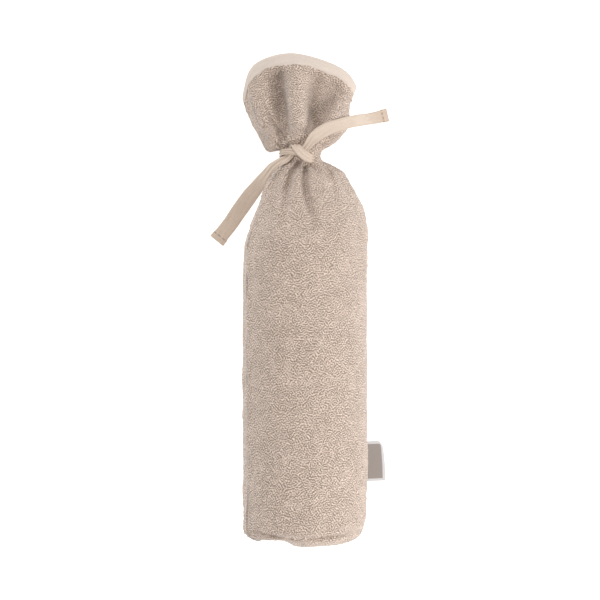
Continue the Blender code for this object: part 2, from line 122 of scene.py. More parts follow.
class Finish:
    """A cloth finish that is built up from nodes round one Principled shader."""

    def __init__(self, name, roughness, sheen):
        self.material = bpy.data.materials.new(name)
        self.material.use_nodes = True
        self.tree = self.material.node_tree
        self.shader = self.tree.nodes["Principled BSDF"]
        self.shader.inputs["Roughness"].default_value = roughness
        self.shader.inputs["Specular IOR Level"].default_value = 0.2
        self.shader.inputs["Sheen Weight"].default_value = sheen
        self.shader.inputs["Sheen Roughness"].default_value = 0.6

    def put(self, socket, value):
        """Gives a socket a plain value or links it to a Shade."""
        if isinstance(value, Shade):
            self.tree.links.new(value.socket, socket)
        else:
            socket.default_value = value

    def node(self, kind, settings, inputs, output=0):
        """Any node: its settings first, then the values or links of its sockets."""
        made = self.tree.nodes.new(kind)
        for name, value in settings.items():
            setattr(made, name, value)
        for name, value in inputs.items():
            self.put(made.inputs[name], value)
        return Shade(self, made.outputs[output])

    def mixed(self, share, low, high):
        """The colour low where share is 0 and high where it is 1."""
        settings = {"data_type": "RGBA"}
        return self.node("ShaderNodeMix", settings, {0: share, 6: low, 7: high}, output=2)

    def done(self, colour, height, depth):
        """Feeds the colour, and a height in its own unit of depth metres, to the shader."""
        self.put(self.shader.inputs["Base Color"], colour)
        relief = {"Height": height, "Distance": depth, "Strength": 1.0}
        self.put(self.shader.inputs["Normal"], self.node("ShaderNodeBump", {}, relief))
        return self.material


def table_top():
    """A flat square, far wider than the view, at the height the cover rests on."""
    half = TABLE_SIDE / 2
    mesh = bpy.data.meshes.new("table_top")
    corners = [(-half, -half, 0), (half, -half, 0), (half, half, 0), (-half, half, 0)]
    mesh.from_pydata(corners, [], [(0, 1, 2, 3)])
    item = bpy.data.objects.new("table_top", mesh)
    bpy.context.scene.collection.objects.link(item)
    paint = Finish("table_paint", 0.9, 0.0)
    place = paint.node("ShaderNodeNewGeometry", {}, {})
    grain = {"Vector": place, "Scale": TABLE_GRAIN, "Detail": 2.0}
    fleck = paint.node("ShaderNodeTexNoise", {}, grain)
    white = paint.mixed(fleck, (0.90, 0.90, 0.90, 1.0), (0.92, 0.92, 0.92, 1.0))
    paint.shader.inputs["Emission Strength"].default_value = TABLE_GLOW
    mesh.materials.append(paint.done(white, fleck, TABLE_GRAIN_DEPTH))
    return item


floor = table_top()

eye = bpy.data.objects.new("eye", bpy.data.cameras.new("eye"))
eye.location = (EYE_X, EYE_Y, EYE_HEIGHT)
eye.data.sensor_width = SENSOR
eye.data.lens = SENSOR * (EYE_HEIGHT - MIDDLE_HEIGHT) / (PHOTO_SIDE * PIXEL)
eye.data.clip_start = 0.05
eye.data.clip_end = 20.0
bpy.context.scene.collection.objects.link(eye)
bpy.context.scene.camera = eye

world = bpy.data.worlds.new("studio")
world.use_nodes = True
world.node_tree.nodes["Background"].inputs["Color"].default_value = (1.0, 1.0, 1.0, 1.0)
world.node_tree.nodes["Background"].inputs["Strength"].default_value = STUDIO_LIGHT
bpy.context.scene.world = world
bpy.context.scene.view_settings.view_transform = "Standard"
soft_light("key_light", (1.4, -0.9, 1.15), LAMPS_FACE, 0.7, 22.0, (1.0, 0.985, 0.97))
soft_light("fill_light", (-0.7, 1.6, 1.35), LAMPS_FACE, 1.2, 15.0, (1.0, 1.0, 1.0))

# ------------------------------------------------------------------------- the two terry panels
# Two panels of looped cotton terry, cut to the same shape and sewn together at the sides and the
# foot. They are filled round and full, gathered to a narrow neck and spread out again to the mouth.

SEAM_ROLL = math.radians(25)  # the seams' plane is rolled: left seam high, right seam low
GAP = 0.12  # between the panels, where the seam thread pulls them together
TERRY = 2.5  # thickness of the cloth

# One row for each cross-section, from the foot seam to the mouth. y is the section's middle, left,
# right, top and under are its reach, close is 1 where it is open and 0 where it is a flat seam,
# wall is how deep the cloth is bunched, pleat is the height of the gathers, lag_left and lag_right
# are how far its sides trail its middle, and rows is the mesh rows up to the next one.
SECTION_COLUMNS = (
    "y", "left", "right", "top", "under", "close", "wall", "pleat", "lag_left", "lag_right", "rows",
)
SECTIONS = (
    (-109.0, -31.0, 29.0, 70.5, 10.5, 0.00, TERRY, 0.0, -4.8, -2.0, 5),
    (-110.4, -35.5, 33.5, 75.0, 6.0, 0.36, TERRY, 0.0, -4.8, -2.0, 5),
    (-110.2, -39.0, 37.2, 78.5, 2.5, 0.66, TERRY, 0.0, -4.8, -2.0, 6),
    (-107.3, -42.3, 40.0, 81.6, -0.5, 0.88, TERRY, 0.0, -3.6, -1.4, 9),
    (-101.0, -44.3, 42.0, 83.7, -2.6, 0.97, TERRY, 0.0, 0.0, -1.0, 13),
    (-88.0, -44.6, 43.8, 84.0, -3.0, 1.00, TERRY, 0.0, 0.0, 0.0, 24),
    (-60.0, -44.8, 45.3, 84.0, -3.0, 1.00, TERRY, 0.0, 0.0, 0.0, 50),
    (0.0, -44.8, 44.8, 84.0, -3.0, 1.00, TERRY, 0.0, 0.0, 0.0, 50),
    (60.0, -44.7, 44.6, 84.0, -3.0, 1.00, TERRY, 0.0, 0.0, 0.0, 34),
    (100.0, -44.5, 44.8, 83.5, -3.0, 1.00, TERRY, 0.1, 0.0, 0.0, 18),
    (118.0, -40.0, 45.8, 80.0, -2.0, 1.00, TERRY, 0.5, 0.0, 0.0, 20),
    (134.0, -34.0, 41.2, 72.5, 5.0, 1.00, TERRY, 1.3, 0.0, 0.0, 18),
    (148.0, -30.0, 34.4, 64.0, 13.0, 1.00, 3.6, 2.0, 0.0, 0.0, 14),
    (158.0, -22.8, 28.4, 57.0, 19.5, 1.00, 6.5, 1.8, 0.0, 0.0, 9),
    (165.8, -16.1, 12.5, 52.3, 23.7, 1.00, 10.0, 0.2, 0.0, 0.0, 6),
    (173.8, -16.1, 12.5, 52.3, 23.7, 1.00, 10.0, 0.2, 0.0, 0.0, 9),
    (180.0, -26.5, 17.5, 54.5, 20.0, 1.00, 6.5, 1.0, 7.4, 4.0, 14),
    (191.0, -31.6, 26.6, 57.0, 12.0, 1.00, 3.8, 1.5, 11.5, 8.0, 17),
    (205.0, -37.0, 33.2, 57.0, 4.0, 1.00, TERRY, 1.6, 15.0, 13.0, 18),
    (220.0, -41.7, 33.4, 55.0, -1.0, 1.00, TERRY, 1.4, 20.0, 17.0, 18),
    (235.0, -44.7, 36.0, 51.5, 0.5, 1.00, TERRY, 0.4, 26.0, 19.5, 8),
    (243.0, -45.5, 38.0, 49.0, 1.0, 1.00, TERRY, 0.3, 29.0, 21.5, 0),
)
CREST = -0.3  # where across a section the lobes start to trail it, from -1 at left to 1
FOOT_CREST = 0.36  # the same for the foot, whose sides lead
FOOT_STEP = (0.17, 0.5)  # where its left side steps ahead, as a share of the way to the left
SIDE_ROUND = 3.0  # how suddenly the other sides do so
ARCH_CREST = -0.15  # where across the mouth's arch is highest
ARCH_ROUNDS = (2.0, 1.52)  # how suddenly it falls off, at left and at right
ARCH_CORNER = 12.0  # how suddenly it turns down at its corners
ARCH_SHARES = (0.64, 0.34)  # share of its drop in the corners
ARCH_SECTIONS = 3.0  # how many sections below the mouth it begins
LOBE_LAG = 15.0  # how far a lobe sags over the tape where its cloth faces the foot
LAST = len(SECTIONS) - 1
FIRST_STRAIGHT = 5  # the section where the straight body starts
WALL = SECTION_COLUMNS.index("wall")

# Gathers round the neck: how many, how high as a share of the section's pleat, and their turn.
GATHERS = ((11, 0.50, 0.0), (17, 0.22, 1.3), (7, 0.20, 2.1), (29, 0.10, 0.4))

# One row for each main fold of the upper side, seen from above: it runs through three places, with
# its depth at each (negative is a ridge), its half-width at both ends on the left of its line, and
# the share of that on the right, which is under 1 where its right wall is the steeper one.
FOLD_COLUMNS = (
    "name", "x0", "y0", "x1", "y1", "x2", "y2", "d0", "d1", "d2", "w0", "w2", "right_share",
)
FOLDS = (
    ("left hollow", -17.8, 229.0, -15.2, 206.0, -12.9, 184.0, 10.0, 16.0, 7.0, 12.0, 6.0, 0.34),
    ("middle ridge", -7.5, 236.0, -6.4, 207.0, -3.4, 184.0, -1.0, -2.5, -1.5, 4.5, 3.5, 1.2),
    ("right hollow", 7.6, 222.0, 4.6, 206.0, 5.6, 187.0, 9.0, 15.0, 10.5, 4.6, 2.8, 2.6),
    ("right lobe dish", 24.0, 221.0, 17.0, 208.0, 11.0, 194.0, 7.0, 9.0, 4.0, 6.5, 5.0, 1.1),
    ("left lobe crease", -33.5, 211.0, -24.0, 194.0, -14.8, 181.0, 1.5, 4.0, 3.0, 2.4, 2.0, 0.7),
    ("left shoulder fold", -4.6, 164.0, -11.2, 149.0, -14.4, 121.0, 4.5, 6.5, 2.0, 2.0, 3.2, 0.8),
    ("right shoulder fold", 0.6, 160.0, 1.0, 143.0, 6.0, 117.0, 4.5, 6.0, 1.8, 1.8, 3.2, 0.8),
    ("short fold", 2.0, 163.0, 8.0, 159.0, 13.5, 156.0, 3.0, 4.0, 1.0, 2.0, 2.4, 1.0),
    ("outer shoulder fold", 12.0, 163.0, 17.0, 156.0, 21.0, 144.0, 1.5, 2.5, 0.4, 2.2, 3.0, 1.0),
    ("left seam fold", -18.0, 158.0, -27.5, 143.0, -36.0, 122.0, 2.0, 3.0, 0.5, 2.4, 4.0, 1.0),
    ("foot crease right", 2.0, -102.4, 17.0, -101.4, 31.0, -100.6, 1.6, 2.8, 1.2, 1.7, 1.6, 1.0),
    ("foot crease left", -36.0, -99.5, -20.0, -101.5, -5.0, -103.0, 2.2, 4.0, 2.4, 1.8, 1.8, 1.0),
    ("foot notch", -3.5, -103.0, -3.6, -108.0, -3.6, -113.0, 1.5, 3.5, 3.5, 2.6, 2.6, 1.0),
)
FOLD_STEPS = 97  # places along each fold's line
FOLD_REACH = 3.0  # half-widths from its line at which a fold has run out
FOLD_SIDE = 0.35  # sine of the angle from a side seam at which the folds have their full depth
FOLD_FOOT = (0.3, 0.75)  # how open a section is where the folds fade at the foot seam
FOLD_MOUTH = (1.7, 0.95)  # how many sections below the mouth they fade under the binding
BUNCH_LEVEL = 0.6  # how far the folds of deeply bunched cloth are levelled inside
LOBE_SECTIONS = (4, 2)  # how many sections below the mouth the lobes' overhang ends

PANEL_COLUMNS = 160  # cells across the face of a panel, twice those of its back
TOP_DENSITY = 0.9  # share by which the cells are closer together on top
TOP_SPREAD = math.radians(55)
ANGLE_STEPS = 721
LEAST_ROW = 0.05  # a mesh row nearer than this share of a section to the last one is left out
LATTICE = 512  # chance heights along each side of a lattice, which then repeats
PILE, PILE_CELL = 0.22, 1.7  # how unevenly the loops stand, and over what distance
SLACK, SLACK_CELL = 0.35, 14.0  # the same for the cloth under them
SEAM_PULL = 1.3  # how deep the seam thread pulls the edges in
SEAM_REACH = 3.2  # how far from the edge
SLACK_SEED = 100  # from a panel's own seed to that of its slack
PLAN_SCALE = 0.4  # metres of cloth along the whole side of its texture plan
PLAN_MARGIN = 6.0  # from the plan's edge to the cloth
FACE_PLAN = 90.0  # where the middle of the face lies across the plan, and that of the back
BACK_PLAN = 270.0

# Binding sizes that shape the cloth under it.
BINDING_WIDTH = 8.8
BINDING_CLOTH = 0.9
PRESSED_OUT = 1.25  # how far the terry's face is pressed in under the binding
PRESSED_IN = 2.65  # where its other face lies there
PRESSED_FROM = 0.2  # how far below the binding the pressing starts
PRESSED_FULL = -2.0  # the same for where it is complete, which is under the binding
CREST_ROOM = 2.1  # from the binding's fold to the terry's edge
RIM_SPAN = SECTIONS[-1][0] - SECTIONS[-2][0]  # length of the bag's last section

LOOP_PITCH = 1.62  # from one row of loops to the next
LOOP_CELL = 2.9  # over what distance the rows keep their line
LOOP_CONTRAST = 4.1
LOOP_DEPTH = 0.00045
DRIFT, DRIFTS_PER_MM = (2.0, 2.0, 0.0), 0.3  # how far the rows wander
TUFT, TUFT_CONTRAST = 1.9, 0.32  # loops that lean together
PATCH_CONTRAST, PATCHES_PER_MM = 0.45, 0.06  # broad lighter and darker patches
SEAM_BAND = (1.0, 3.4)  # from the seam, where the greyer, more even band along it ends
SEAM_BREAKS, BREAKS_PER_MM = (0.38, 0.6), 0.11  # the band shows in patches
SEAM_SHARE = 0.45
# The colour of the loops, and that of the gaps between them, which is darkened with painted shade
# that the bumps alone don't cast.
TERRY_GAP_SHADE = (0.31, 0.235, 0.185, 1.0)
TERRY_LOOP = (0.82, 0.66, 0.555, 1.0)
TERRY_SEAM = (0.50, 0.44, 0.395, 1.0)
# Painted shade in the folds: its colour, the fold depths over which it comes in, and its share.
TERRY_FOLD_SHADE = (0.20, 0.15, 0.12, 1.0)  # painted shade at the bottom of a fold
FOLD_SHADE_DEPTHS = (3.0, 15.0)
FOLD_SHADE_SHARE = 0.35


def smooth_row(table, at):
    """Values between a table's rows: a smooth curve that runs through each row, for all of at."""
    rows = np.asarray(table, dtype=float)
    last = len(rows) - 1
    low = np.clip(np.floor(at).astype(int), 0, last - 1)
    part = (np.clip(at, 0, last) - low)[..., None]
    before = rows[np.clip(low - 1, 0, last)]
    start = rows[low]
    end = rows[low + 1]
    after = rows[np.clip(low + 2, 0, last)]
    slope_in = (end - before) / 2
    slope_out = (after - start) / 2
    return (
        start * (2 * part**3 - 3 * part**2 + 1)
        + slope_in * (part**3 - 2 * part**2 + part)
        + end * (3 * part**2 - 2 * part**3)
        + slope_out * (part**3 - part**2)
    )


def ease(low, high, value):
    """0 below low, 1 above high and a smooth rise between them."""
    share = np.clip((value - low) / (high - low), 0, 1)
    return share * share * (3 - 2 * share)


def fold_depth(x, y):
    """Depth of the folds at places seen from above: a bell curve of the distance to each line."""
    total = np.zeros(x.shape)
    along = np.linspace(0, 2, FOLD_STEPS)
    for row in FOLDS:
        fold = dict(zip(FOLD_COLUMNS, row))
        line_x = smooth_row([[fold["x0"]], [fold["x1"]], [fold["x2"]]], along)[:, 0]
        line_y = smooth_row([[fold["y0"]], [fold["y1"]], [fold["y2"]]], along)[:, 0]
        depths = smooth_row([[fold["d0"]], [fold["d1"]], [fold["d2"]]], along)[:, 0]
        widths = np.linspace(fold["w0"], fold["w2"], FOLD_STEPS)
        reach = FOLD_REACH * widths.max() * max(fold["right_share"], 1)
        near = (x > line_x.min() - reach) & (x < line_x.max() + reach)
        near &= (y > line_y.min() - reach) & (y < line_y.max() + reach)
        away = np.hypot(x[near][:, None] - line_x, y[near][:, None] - line_y)
        nearest = away.argmin(-1)
        width = widths[nearest] * np.where(x[near] > line_x[nearest], fold["right_share"], 1)
        total[near] += depths[nearest] * np.exp(-((away.min(-1) / width) ** 2))
    return total


def trailing(across, v, at):
    """How far each place trails its section's middle: a power of the share across.

    On the foot's left it is a smooth step instead, and over the mouth's arch two powers are mixed,
    a low one for its round and a high one for its corners.
    """
    foot = v < FIRST_STRAIGHT
    crest = np.where(foot, FOOT_CREST, CREST)
    left = np.clip((crest - across) / (1 + crest), 0, None)
    right = np.clip((across - crest) / (1 - crest), 0, None)
    arch_left = np.clip((ARCH_CREST - across) / (1 + ARCH_CREST), 0, None)
    arch_right = np.clip((across - ARCH_CREST) / (1 - ARCH_CREST), 0, None)
    arch_left, arch_right = (
        (1 - share) * side**power + share * side**ARCH_CORNER
        for side, power, share in zip((arch_left, arch_right), ARCH_ROUNDS, ARCH_SHARES)
    )
    arch = ease(LAST - ARCH_SECTIONS, LAST, v)
    left = np.where(foot, ease(*FOOT_STEP, left), left**SIDE_ROUND) * (1 - arch) + arch_left * arch
    right = right**SIDE_ROUND * (1 - arch) + arch_right * arch
    return at["lag_left"] * left + at["lag_right"] * right


def shell(theta, v, inset):
    """Places on the bag, inset from its face, for theta round it and v along its sections.

    Each section is an ellipse. It is closed towards the seams' plane near the foot, its sides
    trail its middle, the gathers press it in towards its middle and the folds press it down, and
    it is flat where it meets the table. Inset places lie further in from both ends as well.
    """
    theta, v, inset = np.broadcast_arrays(*(np.asarray(a, dtype=float) for a in (theta, v, inset)))
    at = dict(zip(SECTION_COLUMNS, np.moveaxis(smooth_row(SECTIONS, v), -1, 0)))
    turn = theta - SEAM_ROLL
    across, up = np.cos(turn), np.sin(turn)
    close = np.clip(at["close"], 0, 1)
    half_width = (at["right"] - at["left"]) / 2
    half_height = (at["top"] - at["under"]) / 2
    middle_x = (at["left"] + at["right"]) / 2
    lag = trailing(across, v, at)
    dx = (half_width - inset) * across
    dz = (half_height - inset) * up
    open_share = np.clip(close * half_height - inset, 0, None) / (half_height - inset)
    cos_roll, sin_roll = math.cos(SEAM_ROLL), math.sin(SEAM_ROLL)
    flat = dx * cos_roll - dz * sin_roll
    thick = (dx * sin_roll + dz * cos_roll) * open_share
    dx = flat * cos_roll + thick * sin_roll
    dz = thick * cos_roll - flat * sin_roll
    bunched = TERRY / np.maximum(inset, TERRY)
    wave = sum(share * (1 + np.cos(count * turn + start)) for count, share, start in GATHERS)
    gather = at["pleat"] * wave / 2 * bunched
    overhang_from, overhang_to = (LAST - below for below in LOBE_SECTIONS)
    overhang = np.clip(lag / LOBE_LAG, 0, 1) * (1 - ease(overhang_from, overhang_to, v))
    y = at["y"] - lag + inset * (1 - close**2 + overhang)
    x = middle_x + dx - gather * across
    press = fold_depth(x, y) * ease(0.0, FOLD_SIDE, np.sin(theta)) * ease(*FOLD_FOOT, close)
    press = press * (1 - ease(*(LAST - below for below in FOLD_MOUTH), v))
    level = BUNCH_LEVEL * np.clip(inset - TERRY, 0, None)
    press = press - np.minimum(press * (1 - bunched), level)
    z = (at["top"] + at["under"]) / 2 + dz - gather * up - press
    return np.stack([x, y, np.maximum(z, np.clip(inset, 0, None))], -1)


def section_rows():
    """Where the mesh rows lie along the sections, an odd number that ends under the binding."""
    marks = [0.0]
    for low, row in enumerate(SECTIONS[:-1]):
        marks += [low + (step + 1) / row[-1] for step in range(row[-1])]
    marks = np.array(marks)
    end = LAST - CREST_ROOM / RIM_SPAN
    marks = np.append(marks[marks < end - LEAST_ROW], end)
    return marks if len(marks) % 2 else marks[:-1]


def columns_round(start, end, count):
    """Angles across a panel, closer together on the cover's upper side, where the folds are."""
    fine = np.linspace(start, end, ANGLE_STEPS)
    density = 1 + TOP_DENSITY * np.exp(-(((fine - SEAM_ROLL - math.pi / 2) / TOP_SPREAD) ** 2))
    reached = np.concatenate([[0], np.cumsum((density[1:] + density[:-1]) / 2)])
    return np.interp(np.linspace(0, reached[-1], count + 1), reached, fine)


def pressed(v):
    """Inset of the terry's face: it is pressed in where the binding covers it."""
    low = LAST - (BINDING_WIDTH + PRESSED_FROM) / RIM_SPAN
    high = LAST - (BINDING_WIDTH + PRESSED_FULL) / RIM_SPAN
    return PRESSED_OUT * ease(low, high, v)


def uneven(across, along, cell, seed):
    """Unevenness of the cloth: chance heights on a lattice over its flat plan, joined smoothly."""
    lattice = np.random.default_rng(seed).normal(size=(LATTICE, LATTICE))
    u, v = across / cell + LATTICE / 2, along / cell
    i, j = np.floor(u).astype(int) % (LATTICE - 1), np.floor(v).astype(int) % (LATTICE - 1)
    s, t = ease(0, 1, u - np.floor(u)), ease(0, 1, v - np.floor(v))
    low = lattice[i, j] * (1 - s) + lattice[i + 1, j] * s
    high = lattice[i, j + 1] * (1 - s) + lattice[i + 1, j + 1] * s
    return low * (1 - t) + high * t


def outward(grid):
    """The direction that a grid of places faces: across the columns and rows at each place."""
    normal = np.cross(np.gradient(grid, axis=1), np.gradient(grid, axis=0))
    return normal / np.maximum(np.linalg.norm(normal, axis=-1, keepdims=True), 1e-9)


def plan(grid):
    """The cloth laid out flat: how far each place lies across from the middle and along, in mm."""
    steps = np.linalg.norm(np.diff(grid, axis=1), axis=-1)
    across = np.concatenate([np.zeros((len(grid), 1)), np.cumsum(steps, axis=1)], axis=1)
    across = across - across[:, -1:] / 2
    middle = grid[:, grid.shape[1] // 2]
    along = np.concatenate([[0], np.cumsum(np.linalg.norm(np.diff(middle, axis=0), axis=-1))])
    return across, np.broadcast_to(along[:, None], across.shape)


def seam_distance(across):
    """How far each place of a panel lies from its nearer side seam."""
    return np.maximum(across[:, -1:] - np.abs(across), 0)


def patch(numbers, laid):
    """The cells of a grid of point numbers, and where their corners lie on the flat plan."""
    corners = [
        np.stack([grid[:-1, :-1], grid[1:, :-1], grid[1:, 1:], grid[:-1, 1:]], 2)
        for grid in (numbers, laid)
    ]
    return corners[0].reshape(-1, 4), corners[1].reshape(-1, 4, 2)


def rim(fine, coarse, fine_laid):
    """Triangles between a fine edge and one with half its steps, laid along the fine edge."""
    a, b, c = fine[:-2:2], fine[1:-1:2], fine[2::2]
    p, q = coarse[:-1], coarse[1:]
    la, lb, lc = fine_laid[:-2:2], fine_laid[1:-1:2], fine_laid[2::2]
    corners = (a, b, p), (b, q, p), (b, c, q)
    laid = (la, lb, la), (lb, lc, la), (lb, lc, lc)
    return tuple(
        np.concatenate([np.stack(three, 1) for three in threes]) for threes in (corners, laid)
    )


def cloth_piece(node, points, patches, finish):
    """One piece of cloth from points in millimetres, with its flat plan as UV map, also in them."""
    name = node + "_cloth"
    faces = [face for numbers, _ in patches for face in numbers.tolist()]
    plans = np.concatenate([laid.reshape(-1, 2) for _, laid in patches])
    mesh = bpy.data.meshes.new(name)
    mesh.from_pydata((points * MM).tolist(), [], faces)
    layer = mesh.uv_layers.new(name="plan")
    layer.data.foreach_set("uv", (plans * MM / PLAN_SCALE).astype(np.float32).ravel())
    mesh.shade_smooth()
    mesh.materials.append(finish)
    item = bpy.data.objects.new(name, mesh)
    bpy.context.scene.collection.objects.link(item)
    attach(item, "root")
    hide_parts(node)
    return item


def on_plan(finish):
    """The place on the cloth's flat plan, in millimetres."""
    uv = finish.node("ShaderNodeUVMap", {"uv_map": "plan"}, {})
    settings = {"operation": "SCALE"}
    return finish.node("ShaderNodeVectorMath", settings, {0: uv, "Scale": PLAN_SCALE / MM})


def plan_axes(finish, place):
    """Both coordinates of a place on the plan, each as a number."""
    split = finish.node("ShaderNodeSeparateXYZ", {}, {0: place})
    return split, Shade(finish, split.socket.node.outputs[1])


def terry_finish():
    """Looped pile: wandering rows of loops, broken at chance, with lit tips over deep gaps.

    Its height is the rows' wave plus the tufts' chance heights. Its colour goes with that height,
    so that the gaps between the loops carry painted shade, and with the broad patches. It is greyer
    and more even, in patches, along a band by the seams, and painted shade darkens it deep in the
    folds.
    """
    finish = Finish("terry", 0.95, 0.3)
    place = on_plan(finish)
    wander = {"Vector": place, "Scale": DRIFTS_PER_MM, "Detail": 1.0}
    drift = finish.node("ShaderNodeTexNoise", {}, wander, 1)
    settings = {"operation": "MULTIPLY_ADD"}
    bent = finish.node("ShaderNodeVectorMath", settings, {0: drift, 1: DRIFT, 2: place})
    inputs = {
        "Vector": bent,
        "Scale": 1 / LOOP_CELL,
        "Frequency": LOOP_CELL / LOOP_PITCH,
        "Anisotropy": 0.2,
        "Orientation": math.pi / 2,
    }
    loops = finish.node("ShaderNodeTexGabor", {"gabor_type": "2D"}, inputs)
    cells = {"Vector": bent, "Scale": 1 / TUFT, "Randomness": 1.0}
    tuft = finish.node("ShaderNodeTexVoronoi", {"voronoi_dimensions": "2D"}, cells, 1)
    tuft = finish.node("ShaderNodeSeparateColor", {}, {0: tuft})
    patches = {"Vector": place, "Scale": PATCHES_PER_MM, "Detail": 4.0}
    shade = finish.node("ShaderNodeTexNoise", {}, patches)
    breaks = {"Vector": place, "Scale": BREAKS_PER_MM, "Detail": 1.0}
    blotch = finish.node("ShaderNodeTexNoise", {}, breaks)
    edge = finish.node("ShaderNodeAttribute", {"attribute_name": "seam"}, {}, 2)
    seam = (1 - edge.rise(*SEAM_BAND)) * blotch.rise(*SEAM_BREAKS)
    pile = LOOP_CONTRAST * (loops - 0.5) + TUFT_CONTRAST * (tuft - 0.5)
    light = 0.5 + pile * (1 - SEAM_SHARE * seam) + PATCH_CONTRAST * (shade - 0.5)
    # Painted shade: where the pile is low, in the gaps between the loops, the colour goes dark.
    colour = finish.mixed(light.clipped(), TERRY_GAP_SHADE, TERRY_LOOP)
    colour = finish.mixed(seam * SEAM_SHARE, colour, TERRY_SEAM)
    # Painted shade: the colour is darkened deep in the folds, by the fold depth that each point
    # keeps.
    depth = finish.node("ShaderNodeAttribute", {"attribute_name": "hollow"}, {}, 2)
    colour = finish.mixed(depth.rise(*FOLD_SHADE_DEPTHS) * FOLD_SHADE_SHARE, colour, TERRY_FOLD_SHADE)
    return finish.done(colour, (0.5 + pile).clipped(), LOOP_DEPTH)


def terry_panel(node, start, end, shift, seed, finish):
    """A panel between two angles: its face with the pile, its back, and the edges between them.

    The face is the bag's shell, pulled in at both side seams, with the loops' uneven height added
    along its own outward direction. The back is the shell again, a cloth's thickness further in,
    on half the cells each way. Each point keeps how far it is from a seam and how deep in a fold.
    """
    v = section_rows()[:, None]
    theta = columns_round(start, end, PANEL_COLUMNS)[None, :]
    face = shell(theta, v, pressed(v) + 0 * theta)
    across, along = plan(face)
    edge = seam_distance(across)
    covered = np.clip(pressed(v) / PRESSED_OUT, 0, 1)
    way = outward(face) * (1 if end > start else -1)
    pile = PILE * uneven(across, along, PILE_CELL, seed) * ease(0, SEAM_REACH, edge)
    pile = pile + SLACK * uneven(across, along, SLACK_CELL, seed + SLACK_SEED)
    pull = SEAM_PULL * np.exp(-((edge / SEAM_REACH) ** 2))
    face = face + way * ((pile - pull) * (1 - covered))[..., None]
    face[..., 2] = np.maximum(face[..., 2], 0)

    walls = np.interp(v, np.arange(len(SECTIONS)), [row[WALL] for row in SECTIONS])
    walls = walls + (PRESSED_IN - TERRY) * (pressed(v) / PRESSED_OUT)
    back = shell(theta[:, ::2], v[::2], walls[::2] + 0 * theta[:, ::2])
    back_across, back_along = plan(back)
    move = np.array([math.sin(SEAM_ROLL), 0, math.cos(SEAM_ROLL)]) * shift
    rows, wide = face.shape[:2]
    short, narrow = back.shape[:2]
    points = np.concatenate([face.reshape(-1, 3), back.reshape(-1, 3)]) + move
    number = np.arange(rows * wide).reshape(rows, wide)
    inner = rows * wide + np.arange(short * narrow).reshape(short, narrow)
    laid = np.stack([FACE_PLAN + across, PLAN_MARGIN + along], -1)
    laid_back = np.stack([BACK_PLAN + back_across, PLAN_MARGIN + back_along], -1)
    patches = [
        patch(number, laid),
        patch(inner[:, ::-1], laid_back[:, ::-1]),
        rim(number[0], inner[0], laid[0]),
        rim(number[-1][::-1], inner[-1][::-1], laid[-1][::-1]),
        rim(number[::-1, 0], inner[::-1, 0], laid[::-1, 0]),
        rim(number[:, -1], inner[:, -1], laid[:, -1]),
    ]
    piece = cloth_piece(node, points, patches, finish)
    # The fold depth is kept for the finish's painted shade in the folds.
    marks = {
        "seam": (edge, seam_distance(back_across)),
        "hollow": (fold_depth(face[..., 0], face[..., 1]), 0 * back_across),
    }
    for name, (outer, inner_side) in marks.items():
        values = np.concatenate([outer.ravel(), inner_side.ravel()])
        piece.data.attributes.new(name, "FLOAT", "POINT").data.foreach_set("value", values)
    return piece


terry = terry_finish()
panel_front = terry_panel("panel_front", 0.0, math.pi, GAP, 11, terry)
panel_back = terry_panel("panel_back", math.pi, 2 * math.pi, 0.0, 12, terry)

# ------------------------------------------------------------------------------ the mouth's binding
# A strip of cotton jersey folded over the mouth's raw edge, its legs sewn down on both faces of the
# terry. It is soft and a little puffy, and the pile stands up along its lower edge.

BINDING_ROUND = 2.0  # how far down from the fold its legs are straight
BINDING_SLACK = 0.45  # room over the terry on the face, which takes the gap of the seams too
BINDING_SLACK_IN = 0.45
BINDING_PUFF = 0.5  # how far its legs bulge
BINDING_FOLD_RISE = 0.3
BINDING_EDGE_WAVE = 0.25  # how unevenly its lower edges run, in waves of two lengths
BINDING_WAVES = ((9, 1.0, 0.5), (23, 0.6, 0.0))  # how many, how high as a share, and their turn
BINDING_FRONT, BINDING_REAR = 240, 120  # columns of cells round the mouth
LEG_POINTS, FOLD_POINTS = 9, 9
WALE_PITCH = 0.75
WALE_WAVE = (0.12, 1.0, 1.0)  # how the streaks are drawn out along the strip
JERSEY_DEPTH = 0.00022
JERSEY_BLOTCHES = 0.9  # streaks and mottles in a millimetre
STITCH_WIDTH, STITCH_PITCH = 0.6, 2.4
STITCH_GAPS = (-0.6, 0.2)
STITCH_SHARE, STITCH_SUNK = 0.55, 2.0
STITCH_COLOUR = (0.30, 0.22, 0.17, 1.0)
BINDING_SHADE = (0.57, 0.48, 0.41, 1.0)
BINDING_LIGHT = (0.78, 0.68, 0.60, 1.0)


def jersey_finish(name, shade, light_colour, hems=()):
    """Fine jersey: narrow wales along the strip, with faint streaks that run with them.

    Its lightness and its height are weighted sums of the wales, the streaks and a mottle. Hems are
    places along the strip where a dark, sunken line of stitches crosses it.
    """
    finish = Finish(name, 0.85, 0.15)
    place = on_plan(finish)
    along, across = plan_axes(finish, place)
    settings = {"operation": "MULTIPLY"}
    drawn = finish.node("ShaderNodeVectorMath", settings, {0: place, 1: WALE_WAVE})
    streak, mottle = (
        finish.node(
            "ShaderNodeTexNoise", {}, {"Vector": at, "Scale": JERSEY_BLOTCHES, "Detail": 2.0}
        )
        for at in (drawn, place)
    )
    wale = across.maths("SINE", across * (2 * math.pi / WALE_PITCH)) * 0.5 + 0.5
    light = 0.75 * streak + 0.55 * mottle + 0.12 * wale - 0.15
    height = wale * 0.4 + mottle * 0.8 + streak
    colour = finish.mixed(light.clipped(), shade, light_colour)
    for hem in hems:
        line = (along - (hem + PLAN_MARGIN)) / STITCH_WIDTH
        thread = across.maths("SINE", across * (2 * math.pi / STITCH_PITCH))
        stitch = (1 - line * line).clipped() * thread.rise(*STITCH_GAPS)
        colour = finish.mixed(stitch * STITCH_SHARE, colour, STITCH_COLOUR)
        height = height - STITCH_SUNK * stitch
    return finish.done(colour, height, JERSEY_DEPTH)


